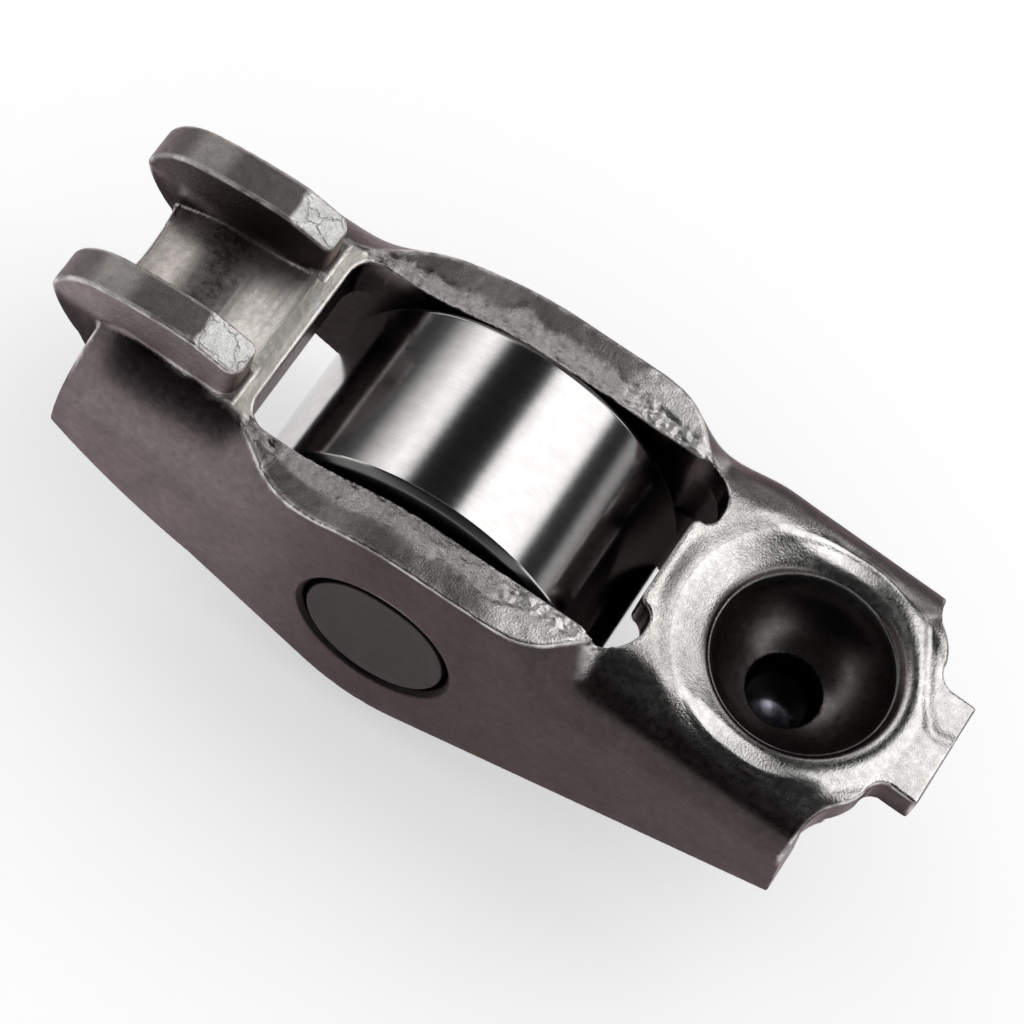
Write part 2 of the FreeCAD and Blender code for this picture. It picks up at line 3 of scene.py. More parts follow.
import bmesh
import bpy
import numpy as np
from mathutils import Matrix, Vector
from mathutils.bvhtree import BVHTree
from mathutils.kdtree import KDTree


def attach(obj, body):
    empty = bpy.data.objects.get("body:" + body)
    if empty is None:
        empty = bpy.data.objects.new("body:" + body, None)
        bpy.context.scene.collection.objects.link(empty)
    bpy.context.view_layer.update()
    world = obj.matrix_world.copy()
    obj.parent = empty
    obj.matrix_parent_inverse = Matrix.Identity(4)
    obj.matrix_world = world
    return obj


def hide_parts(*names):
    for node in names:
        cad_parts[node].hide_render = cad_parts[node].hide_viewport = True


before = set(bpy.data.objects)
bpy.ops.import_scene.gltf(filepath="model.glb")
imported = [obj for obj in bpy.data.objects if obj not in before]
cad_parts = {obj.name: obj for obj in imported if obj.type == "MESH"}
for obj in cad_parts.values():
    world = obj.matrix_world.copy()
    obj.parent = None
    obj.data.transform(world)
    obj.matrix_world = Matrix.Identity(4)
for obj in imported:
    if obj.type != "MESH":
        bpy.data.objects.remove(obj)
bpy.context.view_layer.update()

MM = 0.001
PER_METRE = 1000.0

# Camera: 1024 x 1024 frame, focal length in pixels, axes in the model's frame.
FRAME_PX = 1024
FOCAL_PX = 4508.31
SENSOR_MM = 36.0
CAMERA_PLACE = Vector((13.27, -97.61, 200.34)) * MM
CAMERA_RIGHT = Vector((0.8312, 0.5153, 0.2087))
CAMERA_UP = Vector((-0.5537, 0.7334, 0.3944))

# Sizes that the looks share with the solids, millimetres.
SOCKET_X = 18.06
BALL_RADIUS = 4.65
BALL_HEIGHT = 7.8
RECESS_RADIUS = 1.9
INNER_HALF = 5.5
AXLE_RADIUS = 4.1
AXLE_END = 8.25
ROLLER_RADIUS = 9.6
ROLLER_HALF = 5.1
RACE_RADIUS = 5.64

# Grid of the arm's finished mesh, millimetres, and the triangles that it may keep.
VOXEL = 0.11
ARM_TRIANGLES = 190000

# Points of the solid closer than this are one point.
WELD = 0.0005

# Edges of the solid that count as sharp, and the spacing of the points along them.
SHARP_ANGLE = 0.52
SHARP_SPACING = 0.06

# Rounds that soften the edges, and rounds that even out the solid's facets. Each span
# is a distance from the sharp edges over which the fine mesh takes up a change.
EDGE_ROUNDS = 3
EVEN_ROUNDS = 14
SNAP_SPAN = (0.08, 0.24)
EVEN_SPAN = (0.1, 0.4)

# Points of the lighter mesh closer than this are merged, and its normals follow the
# fine mesh's where the two agree at least this well.
SLIVER = 0.03
NORMAL_MATCH = 0.6

# Folded triangles: how far from an edge they are sought, and when one counts.
FOLD_CLEAR = 0.15
FOLD_LIMIT = 0.9
FOLD_ROUNDS = 12


def add_camera():
    data = bpy.data.cameras.new("camera")
    data.sensor_width = SENSOR_MM
    data.lens = SENSOR_MM * FOCAL_PX / FRAME_PX
    data.clip_start = 0.01
    data.clip_end = 10.0
    camera = bpy.data.objects.new("camera", data)
    bpy.context.scene.collection.objects.link(camera)
    right = CAMERA_RIGHT.normalized()
    back = right.cross(CAMERA_UP).normalized()
    up = back.cross(right)
    turn = Matrix((right, up, back)).transposed().to_4x4()
    camera.matrix_world = Matrix.Translation(CAMERA_PLACE) @ turn
    bpy.context.scene.camera = camera


# Numbers from a mesh and back.
def numbers(items, field, width):
    flat = np.empty(len(items) * width, np.float32 if field != "vertices" else np.int32)
    items.foreach_get(field, flat)
    return flat.reshape(-1, width) if width > 1 else flat


def set_points(mesh, points):
    mesh.vertices.foreach_set("co", points.astype(np.float32).ravel())
    mesh.update()


def step(low, high, value):
    """A smooth change from 0 at one value to 1 at the other, either way round."""
    share = np.clip((value - low) / (high - low), 0.0, 1.0)
    return share * share * (3 - 2 * share)


def band(low, high, value, soft):
    """1 between two values and 0 outside them."""
    return step(low - soft, low + soft, value) * step(high + soft, high - soft, value)


def lattice_value(cell, seed):
    """A steady random number from 0 to 1 for each whole-number place."""
    mixed = cell[:, 0] * 374761393 + cell[:, 1] * 668265263 + cell[:, 2] * 2246822519
    mixed = (mixed + seed * 3266489917) & 0xFFFFFFFF
    mixed = ((mixed ^ (mixed >> 15)) * 2246822519) & 0xFFFFFFFF
    mixed = ((mixed ^ (mixed >> 13)) * 3266489917) & 0xFFFFFFFF
    return ((mixed ^ (mixed >> 16)) & 0xFFFFFFFF) / 4294967295.0


def lumps(points, cell_size, seed):
    """Smooth random lumps of about one cell, from 0 to 1."""
    place = points / cell_size
    base = np.floor(place).astype(np.int64)
    part = place - base
    part = part * part * (3 - 2 * part)
    total = np.zeros(len(points))
    for corner in np.ndindex(2, 2, 2):
        weight = np.ones(len(points))
        for axis in range(3):
            weight = weight * (part[:, axis] if corner[axis] else 1 - part[:, axis])
        total += weight * lattice_value(base + np.array(corner), seed)
    return total


def smoothed(points, edges, rounds):
    """Moves each point half way to the middle of its neighbours, some rounds."""
    count = np.bincount(edges.ravel(), minlength=len(points))
    for _ in range(rounds):
        middle = np.empty_like(points)
        for axis in range(3):
            line = points[:, axis]
            total = np.bincount(edges[:, 0], line[edges[:, 1]], len(points))
            total += np.bincount(edges[:, 1], line[edges[:, 0]], len(points))
            middle[:, axis] = total / count
        points = (points + middle) / 2
    return points


def with_modifier(mesh, kind, **values):
    """The mesh after one modifier."""
    holder = bpy.data.objects.new("holder", mesh)
    bpy.context.scene.collection.objects.link(holder)
    modifier = holder.modifiers.new("change", kind)
    for name, value in values.items():
        setattr(modifier, name, value)
    depsgraph = bpy.context.evaluated_depsgraph_get()
    changed = bpy.data.meshes.new_from_object(holder.evaluated_get(depsgraph))
    bpy.data.objects.remove(holder)
    return changed


def point_tree(places):
    tree = KDTree(len(places))
    for i, place in enumerate(places):
        tree.insert(Vector(place), i)
    tree.balance()
    return tree


def sharp_edge_tree(bm, convex_only=False):
    """Points along the solid's sharp edges, to measure the distance to them."""
    spots = []
    for edge in bm.edges:
        if len(edge.link_faces) != 2 or edge.calc_face_angle(0.0) < SHARP_ANGLE:
            continue
        if convex_only and not edge.is_convex:
            continue
        start, end = edge.verts[0].co, edge.verts[1].co
        count = int((end - start).length / SHARP_SPACING) + 1
        for i in range(count + 1):
            spots.append(start.lerp(end, i / count))
    return point_tree(spots)


def arm_shape():
    """The arm's solid as a fine even mesh in millimetres, its edges slightly rounded."""
    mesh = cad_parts["arm_body"].data.copy()
    mesh.transform(Matrix.Scale(PER_METRE, 4))
    bm = bmesh.new()
    bm.from_mesh(mesh)
    bmesh.ops.remove_doubles(bm, verts=bm.verts, dist=WELD)
    bm.normal_update()
    solid = BVHTree.FromBMesh(bm)
    sharp = sharp_edge_tree(bm)
    # Convex edges, which the paint lightens: partly real wear, partly a painted highlight.
    worn = sharp_edge_tree(bm, convex_only=True)
    bm.to_mesh(mesh)
    bm.free()
    mesh = with_modifier(mesh, "REMESH", mode="VOXEL", voxel_size=VOXEL)
    points = numbers(mesh.vertices, "co", 3).astype(float)
    edges = numbers(mesh.edges, "vertices", 2)
    points = smoothed(points, edges, EDGE_ROUNDS)
    near = np.array([solid.find_nearest(Vector(p))[0] for p in points])
    far_from_edge = edge_distance(sharp, points)
    share = step(*SNAP_SPAN, far_from_edge)[:, None]
    points = points * (1 - share) + near * share
    share = step(*EVEN_SPAN, far_from_edge)[:, None]
    points = points * (1 - share) + smoothed(points, edges, EVEN_ROUNDS) * share
    set_points(mesh, points)
    return mesh, sharp, worn


def edge_distance(tree, points):
    return np.array([tree.find(Vector(p))[2] for p in points])


def without_slivers(mesh):
    """Merges points that lie on each other and drops the faces between them."""
    bm = bmesh.new()
    bm.from_mesh(mesh)
    bmesh.ops.remove_doubles(bm, verts=bm.verts, dist=SLIVER)
    bmesh.ops.dissolve_degenerate(bm, edges=bm.edges, dist=SLIVER / 2)
    bmesh.ops.triangulate(bm, faces=[face for face in bm.faces if len(face.verts) > 3])
    bm.to_mesh(mesh)
    bm.free()


def mend_folds(mesh, sharp):
    """Evens out folded triangles that lie away from the sharp edges."""
    mesh.calc_loop_triangles()
    corners = numbers(mesh.loop_triangles, "vertices", 3)
    points = numbers(mesh.vertices, "co", 3).astype(float)
    edges = numbers(mesh.edges, "vertices", 2)
    count = np.bincount(edges.ravel(), minlength=len(points))
    clear = edge_distance(sharp, points) > FOLD_CLEAR
    for _ in range(FOLD_ROUNDS):
        first, second, third = (points[corners[:, k]] for k in range(3))
        flat = np.cross(second - first, third - first)
        round_normal = np.zeros_like(points)
        for k in range(3):
            np.add.at(round_normal, corners[:, k], flat)
        flat /= np.linalg.norm(flat, axis=1)[:, None] + 1e-12
        round_normal /= np.linalg.norm(round_normal, axis=1)[:, None] + 1e-12
        least = np.ones(len(points))
        for k in range(3):
            np.minimum.at(least, corners[:, k],
                          np.sum(flat * round_normal[corners[:, k]], axis=1))
        folded = clear & (least < FOLD_LIMIT)
        if not folded.any():
            break
        spread = folded.copy()
        spread[edges[:, 0]] |= folded[edges[:, 1]]
        spread[edges[:, 1]] |= folded[edges[:, 0]]
        spread &= clear
        middle = np.zeros_like(points)
        np.add.at(middle, edges[:, 0], points[edges[:, 1]])
        np.add.at(middle, edges[:, 1], points[edges[:, 0]])
        points[spread] = (middle / count[:, None])[spread]
    set_points(mesh, points)


# The bell round the ball socket: height of the sheet by radius, on four sides.
BELL_RADII = (4.3, 4.6, 4.8, 5.0, 5.25, 5.5, 5.75, 6.0, 6.3, 6.6, 6.9, 7.4, 8.0)
BELL_VALVE = (6.6, 7.05, 7.30, 7.44, 7.54, 7.63, 7.72, 7.81, 7.92, 8.02, 8.10, 8.19, 8.28)
BELL_FAR = (6.6, 7.05, 7.19, 7.29, 7.40, 7.50, 7.59, 7.67, 7.76, 7.80, 7.72, 7.45, 7.2)
BELL_NEAR = (6.6, 7.05, 7.28, 7.42, 7.54, 7.63, 7.70, 7.74, 7.74, 7.70, 7.62, 7.45, 7.2)
BELL_TONGUE = (6.6, 7.05, 7.34, 7.55, 7.68, 7.74, 7.76, 7.74, 7.69, 7.63, 7.60, 7.58, 7.58)
BELL_STEP = 0.02
BELL_SOFT = 15

# Radii over which each side goes back to the solid, in the order valve, near, far, tongue.
BELL_FADE = ((6.9, 7.9), (6.0, 6.6), (6.0, 6.6), (6.3, 7.2))
BELL_START = (4.62, 4.72)
BELL_LOWEST = (7.0, 7.08)

# Where the valve and tongue sides begin and are full: cosine of the angle from +X.
VALVE_SIDE = (-0.05, -0.8)
TONGUE_SIDE = (0.1, 0.75)

# The shoulders lie a little lower than the solid's, and the tongue falls to its end.
SHOULDER_DROP = 0.22
SHOULDER_SPAN = (9.0, 23.2)
TONGUE_SLOPE = 0.045
TONGUE_START = 24.2


def bell_line(heights):
    """The heights on a fine even scale, with their corners smoothed."""
    radii = np.arange(BELL_RADII[0], BELL_RADII[-1], BELL_STEP)
    line = np.interp(radii, BELL_RADII, heights)
    kernel = np.ones(BELL_SOFT) / BELL_SOFT
    for _ in range(2):
        padded = np.pad(line, BELL_SOFT // 2, mode="reflect", reflect_type="odd")
        line = np.convolve(padded, kernel, mode="valid")
    return radii, line


# The worn line of the valve pad, from its end up to the ridge: place and height.
PAD_X = (-19.9, -19.6, -19.0, -18.3, -17.8, -17.3, -16.8, -16.3, -15.8, -15.3, -14.8, -14.4,
         -14.0, -13.6, -13.2, -12.8, -12.4, -12.0, -11.7, -11.5)
PAD_Z = (5.01, 5.13, 5.40, 5.67, 5.83, 5.95, 6.04, 6.10, 6.13, 6.15, 6.18, 6.24,
         6.33, 6.45, 6.59, 6.74, 6.89, 7.00, 7.04, 7.05)
PAD_SOLID_Z = (5.07, 5.24, 5.56, 5.86, 6.03, 6.17, 6.28, 6.35, 6.40, 6.41, 6.40, 6.36,
               6.31, 6.26, 6.28, 6.38, 6.58, 6.86, 7.01, 7.05)
PAD_SPAN = (-19.7, -11.5)
PAD_SIDE = (3.4, 3.2)


def shape_pad(points):
    """Moves the pad's top from the solid's line to the worn one."""
    x, y, z = points.T
    solid = np.interp(x, PAD_X, PAD_SOLID_Z)
    change = np.interp(x, PAD_X, PAD_Z) - solid
    share = step(*PAD_SIDE, np.abs(y)) * band(*PAD_SPAN, x, 0.15)
    share *= step(1.2, 0.2, z - solid) * step(-1.4, -0.6, z - solid)
    result = points.copy()
    result[:, 2] = z + change * share
    return result


def shape_bell(points):
    """Lowers the sheet round the socket's mouth into one smooth bell."""
    x, y, z = points.T
    radius = np.hypot(x - SOCKET_X, y)
    across = (x - SOCKET_X) / np.maximum(radius, 0.01)
    valve = step(*VALVE_SIDE, across)
    tongue = step(*TONGUE_SIDE, across)
    far = (1 - valve - tongue) * (y > 0)
    near = (1 - valve - tongue) * (y <= 0)
    target = np.zeros(len(points))
    fade = np.zeros(len(points))
    sides = (BELL_VALVE, BELL_NEAR, BELL_FAR, BELL_TONGUE)
    for share, heights, (start, end) in zip((valve, near, far, tongue), sides, BELL_FADE):
        target += share * np.interp(radius, *bell_line(heights))
        fade += share * step(end, start, radius)
    fade *= step(*BELL_START, radius) * step(*BELL_LOWEST, z)
    shoulder = band(*SHOULDER_SPAN, x, 0.8) * step(4.9, 6.4, np.abs(y))
    shoulder *= step(8.2, 7.0, np.abs(y))
    shoulder *= SHOULDER_DROP * step(4.5, 5.6, z) * step(5.0, 5.8, radius)
    tongue_drop = TONGUE_SLOPE * np.clip(x - TONGUE_START, 0, None)
    tongue_drop *= step(7.2, 7.4, z) * step(3.6, 3.0, np.abs(y))
    result = points.copy()
    result[:, 2] = z * (1 - fade) + target * fade - tongue_drop - shoulder
    return result


def line_distance(points, route):
    """Distance in plan from each point to a line through some places."""
    place = points[:, :2]
    best = np.full(len(points), np.inf)
    for start, end in zip(route, route[1:]):
        start, end = np.array(start), np.array(end)
        along = end - start
        share = np.clip((place - start) @ along / (along @ along), 0, 1)
        best = np.minimum(best, np.linalg.norm(place - start - share[:, None] * along, axis=1))
    return best


# Where some kinds of surface lie along X, and other limits of theirs.
SIDE_TOP_X = (-10.6, 9.8)
RIDGE_X = (-12.6, -10.4)
PAD_X_ZONE = (-20.5, -12.3)
PAD_ROOT_X = (-15.9, -14.6)
FACET_X = (-14.3, -11.5)
RIM_PATCH_X = (-20.2, -18.2)
# Centre in plan of the painted highlight at the bottom of the recess.
DISC_HIGHLIGHT_CENTRE = (18.2, -0.7)
CRESCENT_WIDTH = 2.8
CRESCENT_REACH = 13.0


def arm_zones(points, normals):
    """Where each kind of surface, and each painted light or shade, lies on the arm, as shares
    from 0 to 1.
    """
    x, y, z = points.T
    _, ny, nz = normals.T
    side = np.abs(y)
    from_socket = np.hypot(x - SOCKET_X, y)
    from_ball = np.hypot(from_socket, z - BALL_HEIGHT)
    from_axle = np.hypot(x, z)
    zones = {}
    # The walls' side faces towards the valve end: a lighter tone, a painted sheen.
    zones["left_wall_painted_sheen"] = step(-0.5, -11.0, x) * step(5.3, 5.6, side) * step(0.3, 0.7, np.abs(ny))
    # The web, the dish round the socket and the tongue get a far lighter tone than the walls of
    # the same steel: a painted sheen for the light that the top faces reflect.
    zones["web"] = step(0.74, 0.97, nz) * step(6.0, 6.8, z) * step(8.6, 9.6, x)
    zones["dish"] = zones["web"] * band(4.5, 6.85, from_socket, 0.08)
    zones["tongue"] = zones["web"] * step(23.6, 24.4, x) * step(6.1, 6.5, from_socket)
    zones["socket"] = (from_ball < BALL_RADIUS + 0.12) * (z < 7.12) * 1.0
    zones["mouth_edge"] = band(4.4, 4.74, from_socket, 0.06) * step(6.7, 6.9, z)
    # The hole at the bottom of the socket: near black, painted shade inside the hole.
    zones["recess"] = (from_socket < RECESS_RADIUS + 0.1) * band(0.8, 3.7, z, 0.05)
    # A light disc on the dimple at the recess's bottom, set off the socket's axis: a painted
    # highlight.
    from_disc = np.hypot(x - DISC_HIGHLIGHT_CENTRE[0], y - DISC_HIGHLIGHT_CENTRE[1])
    zones["recess_disc"] = step(1.12, 0.92, from_disc) * band(0.7, 1.95, z, 0.05)
    top = (band(*SIDE_TOP_X, x, 0.2) * step(5.3, 5.45, side)
           * step(0.6, 0.85, nz) * band(6.9, 8.7, z, 0.1))
    width = CRESCENT_WIDTH * (1 - (x / CRESCENT_REACH) ** 2)
    outer = step(0.42, 0.62, (side - INNER_HALF) / width + 0.35 * (lumps(points, 1.3, 7) - 0.5))
    zones["crystal"] = top * (1 - outer)
    zones["crescent"] = top * outer
    # The walls' flat tops, lighter from about x = 4 mm on.
    zones["flat_top_lighter"] = top * step(3.4, 5.0, x + 1.2 * (lumps(points, 0.9, 8) - 0.5))
    # The ridge at the window's valve end: its near-white tone is a painted highlight along the
    # rounded bend.
    zones["ridge"] = (band(*RIDGE_X, x, 0.1) * step(0.5, 0.8, nz) * band(6.5, 7.3, z, 0.1)
                      * step(5.6, 5.4, side))
    zones["pad"] = band(*PAD_X_ZONE, x, 0.05) * step(3.16, 3.06, side) * step(-0.3, 0.1, nz)
    zones["pad_root"] = zones["pad"] * step(*PAD_ROOT_X, x)
    ear = band(2.9, 5.4, side, 0.05) * step(-11.4, -11.6, x) * step(6.3, 7.0, z)
    uneven = x + 0.5 * (lumps(points, 0.6, 9) - 0.5)
    facet = ear * band(*FACET_X, uneven, 0.12) * step(0.8, 0.95, nz) * step(9.0, 9.2, z)
    zones["rim"] = ear * step(0.75, 0.4, np.abs(ny)) * (1 - facet)
    zones["rim_patch"] = zones["rim"] * band(*RIM_PATCH_X, x, 0.5)
    zones["facet"] = facet
    zones["cheek"] = ear * step(0.5, 0.8, np.abs(ny))
    # The ears' faces towards each other: much darker, painted shade between the ears.
    zones["cheek_inner_painted_shade"] = zones["cheek"] * (y * ny < 0)
    # The staking groove round the axle ends: near black, painted shade in the groove.
    zones["stake_painted_shade"] = band(3.9, 4.42, from_axle, 0.03) * step(7.7, 7.9, side)
    # Faces that look down, and the walls' inner faces low down: near black, painted shade under
    # the web and between the walls.
    zones["inside"] = np.maximum(
        step(-0.2, -0.5, nz) * step(7.9, 7.6, side),
        step(INNER_HALF + 0.3, INNER_HALF + 0.15, side) * step(0.5, 0.8, np.abs(ny))
        * step(6.6, 5.6, z))
    return zones


# A fold in the sheet outside the bell, a crack on the near crescent and a dimple, in plan.
FOLD_LINE = ((22.1, 5.6), (22.7, 4.3), (23.4, 2.9), (24.1, 1.6), (24.8, 0.7), (25.3, 0.55),
             (26.3, 0.85))
CRACK_LINE = ((-9.3, -5.4), (-8.6, -5.9), (-8.3, -6.5), (-8.5, -7.2))
DIMPLE = (22.3, 6.0)

# Height or depth of each small form, millimetres.
SKIN_HEIGHT = 0.0015
CRYSTAL_HEIGHT = 0.3
CRESCENT_HEIGHT = 0.04
FOLD_DEPTH = 0.08
CRACK_DEPTH = 0.12
RIM_DEPTH = 0.02
DIMPLE_DEPTH = 0.05


def shape_arm_details(points, normals):
    """Height of the small forms over the solid's surface, millimetres."""
    zones = arm_zones(points, normals)
    x, y, z = points.T
    height = SKIN_HEIGHT * (lumps(points, 0.7, 1) - 0.5)
    rough = lumps(points, 0.42, 2) * 0.4 + lumps(points, 0.22, 3) * 0.6
    height += zones["crystal"] * (rough - 0.8) * CRYSTAL_HEIGHT
    height += zones["crescent"] * (lumps(points, 0.5, 4) - 0.8) * CRESCENT_HEIGHT
    up = step(0.5, 0.8, normals[:, 2]) * step(6.9, 7.1, z)
    height -= up * FOLD_DEPTH * step(0.5, 0.0, line_distance(points, FOLD_LINE))
    height -= up * CRACK_DEPTH * step(0.2, 0.0, line_distance(points, CRACK_LINE))
    height -= (zones["rim"] + zones["facet"]) * RIM_DEPTH * lumps(points, 0.35, 5)
    height -= up * DIMPLE_DEPTH * step(0.3, 0.0, np.hypot(x - DIMPLE[0], y - DIMPLE[1]))
    return height


# Linear colour, roughness, grain and crisp grain of each kind of surface on the arm; some colours
# are painted light or shade, noted at each.
ARM_LOOKS = {
    "wall": ((0.062, 0.049, 0.0495), 0.30, 0.30, 0.0),
    # Lighter tone of the walls towards the valve end: a painted sheen.
    "left_wall_painted_sheen": ((0.17, 0.140, 0.143), 0.34, 0.30, 0.0),
    # Web, dish and tongue: lighter than the walls of the same steel, a painted sheen.
    "web": ((0.60, 0.585, 0.565), 0.25, 0.6, 0.08),
    "dish": ((0.60, 0.59, 0.57), 0.22, 0.3, 0.02),
    "tongue": ((0.58, 0.57, 0.55), 0.27, 0.5, 0.06),
    "socket": ((0.20, 0.185, 0.175), 0.32, 0.05, 0.0),
    "mouth_edge": ((0.16, 0.155, 0.15), 0.36, 0.3, 0.0),
    # Recess: near black, painted shade inside the hole.
    "recess": ((0.03, 0.028, 0.03), 0.4, 0.1, 0.0),
    # Disc in the recess: a painted highlight.
    "recess_disc": ((0.34, 0.34, 0.41), 0.34, 0.05, 0.0),
    "crescent": ((0.20, 0.19, 0.185), 0.31, 0.5, 0.1),
    "crystal": ((0.58, 0.56, 0.54), 0.26, 0.3, 0.35),
    "flat_top_lighter": ((0.66, 0.65, 0.635), 0.31, 0.5, 0.08),
    # Ridge: near-white, a painted highlight along the bend.
    "ridge": ((0.92, 0.87, 0.80), 0.40, 0.3, 0.0),
    "pad": ((0.46, 0.42, 0.395), 0.28, 0.05, 0.0),
    "pad_root": ((0.68, 0.635, 0.60), 0.34, 0.1, 0.0),
    "rim": ((0.17, 0.155, 0.15), 0.32, 0.7, 0.3),
    "rim_patch": ((0.46, 0.43, 0.41), 0.32, 0.7, 0.5),
    "facet": ((0.74, 0.735, 0.72), 0.36, 0.7, 0.12),
    "cheek": ((0.27, 0.23, 0.23), 0.36, 0.6, 0.25),
    # Ears' inner faces: a darker copy of the cheek, painted shade.
    "cheek_inner_painted_shade": ((0.08, 0.068, 0.068), 0.36, 0.6, 0.25),
    # Staking groove: near black, painted shade.
    "stake_painted_shade": ((0.012, 0.01, 0.01), 0.4, 0.2, 0.0),
    # Undersides and low inner faces: near black, painted shade.
    "inside": ((0.03, 0.026, 0.026), 0.5, 0.3, 0.0),
}

# Light convex edges, partly real wear and partly a painted highlight: tone, greatest share, reach
# from the edge, and where they begin.
EDGE_WEAR_HIGHLIGHT_TONE = (0.80, 0.77, 0.74)
EDGE_WEAR_HIGHLIGHT_SHARE = 0.85
EDGE_WEAR_HIGHLIGHT_REACH = (0.26, 0.09)
EDGE_WEAR_HIGHLIGHT_FROM_Z = (4.0, 5.5)
EDGE_WEAR_HIGHLIGHT_FROM_SOCKET = (4.9, 5.4)


def paint_arm(mesh, normals, wear_and_highlight_edges):
    """Writes tone, with its painted light and shade, roughness and grain to the mesh, point by
    point.
    """
    points = numbers(mesh.vertices, "co", 3).astype(float)
    zones = arm_zones(points, normals.astype(float))
    count = len(points)
    looks = np.tile(np.r_[ARM_LOOKS["wall"][0], ARM_LOOKS["wall"][1:]], (count, 1))
    for name, (colour, rough, grain, crisp) in ARM_LOOKS.items():
        if name == "wall":
            continue
        share = np.clip(zones[name], 0, 1)[:, None]
        looks = looks * (1 - share) + np.array([*colour, rough, grain, crisp]) * share
    # Lighter along the convex edges: partly real wear, partly a painted highlight, kept to the
    # upper parts and away from the cup's mouth.
    edge_wear_and_highlight = step(*EDGE_WEAR_HIGHLIGHT_REACH, edge_distance(wear_and_highlight_edges, points))
    edge_wear_and_highlight *= 0.35 + 0.65 * step(0.3, 0.6, lumps(points, 0.5, 6))
    edge_wear_and_highlight *= step(*EDGE_WEAR_HIGHLIGHT_FROM_Z, points[:, 2])
    from_socket = np.hypot(points[:, 0] - SOCKET_X, points[:, 1])
    edge_wear_and_highlight *= step(*EDGE_WEAR_HIGHLIGHT_FROM_SOCKET, from_socket)
    edge_wear_and_highlight *= 1 - np.clip(zones["inside"] + zones["stake_painted_shade"], 0, 1)
    edge_wear_and_highlight = EDGE_WEAR_HIGHLIGHT_SHARE * edge_wear_and_highlight[:, None]
    looks[:, :3] = looks[:, :3] * (1 - edge_wear_and_highlight) + np.array(EDGE_WEAR_HIGHLIGHT_TONE) * edge_wear_and_highlight
    tone = mesh.color_attributes.new("tone", "FLOAT_COLOR", "POINT")
    tone.data.foreach_set("color", np.c_[looks[:, :3], np.ones(count)].astype(np.float32).ravel())
    for name, values in (("finish", looks[:, 3]), ("grain", looks[:, 4]), ("crisp", looks[:, 5]),
                         ("crackle", zones["facet"])):
        layer = mesh.attributes.new(name, "FLOAT", "POINT")
        layer.data.foreach_set("value", values.astype(np.float32))


def add_piece(name, mesh, body, nodes, material):
    """A finished piece that stands for CAD nodes and rides on their body."""
    piece = bpy.data.objects.new(name, mesh)
    bpy.context.scene.collection.objects.link(piece)
    mesh.materials.clear()
    mesh.materials.append(material)
    mesh.shade_smooth()
    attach(piece, body)
    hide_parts(*nodes)
    return piece


def kept_normals(mesh, places, normals):
    """The fine mesh's normals at the points of the lighter one."""
    tree = point_tree(places)
    own = numbers(mesh.vertices, "normal", 3)
    found = np.array([tree.find(vert.co)[1] for vert in mesh.vertices])
    kept = normals[found]
    return np.where(np.sum(kept * own, axis=1)[:, None] > NORMAL_MATCH, kept, own)


def make_arm(material):
    mesh, sharp, worn = arm_shape()
    points = numbers(mesh.vertices, "co", 3).astype(float)
    set_points(mesh, shape_pad(shape_bell(points)))
    points = numbers(mesh.vertices, "co", 3).astype(float)
    normals = numbers(mesh.vertices, "normal", 3).astype(float)
    set_points(mesh, points + normals * shape_arm_details(points, normals)[:, None])
    fine = numbers(mesh.vertices, "co", 3), numbers(mesh.vertices, "normal", 3)
    triangles = 2 * len(mesh.polygons)
    if triangles > ARM_TRIANGLES:
        mesh = with_modifier(mesh, "DECIMATE", decimate_type="COLLAPSE",
                             ratio=ARM_TRIANGLES / triangles)
    without_slivers(mesh)
    mend_folds(mesh, sharp)
    normals = kept_normals(mesh, *fine)
    paint_arm(mesh, normals, worn)
    mesh.shade_smooth()
    mesh.normals_split_custom_set_from_vertices([Vector(normal) for normal in normals])
    mesh.transform(Matrix.Scale(MM, 4))
    return add_piece("arm", mesh, "arm", ["arm_body"], material)


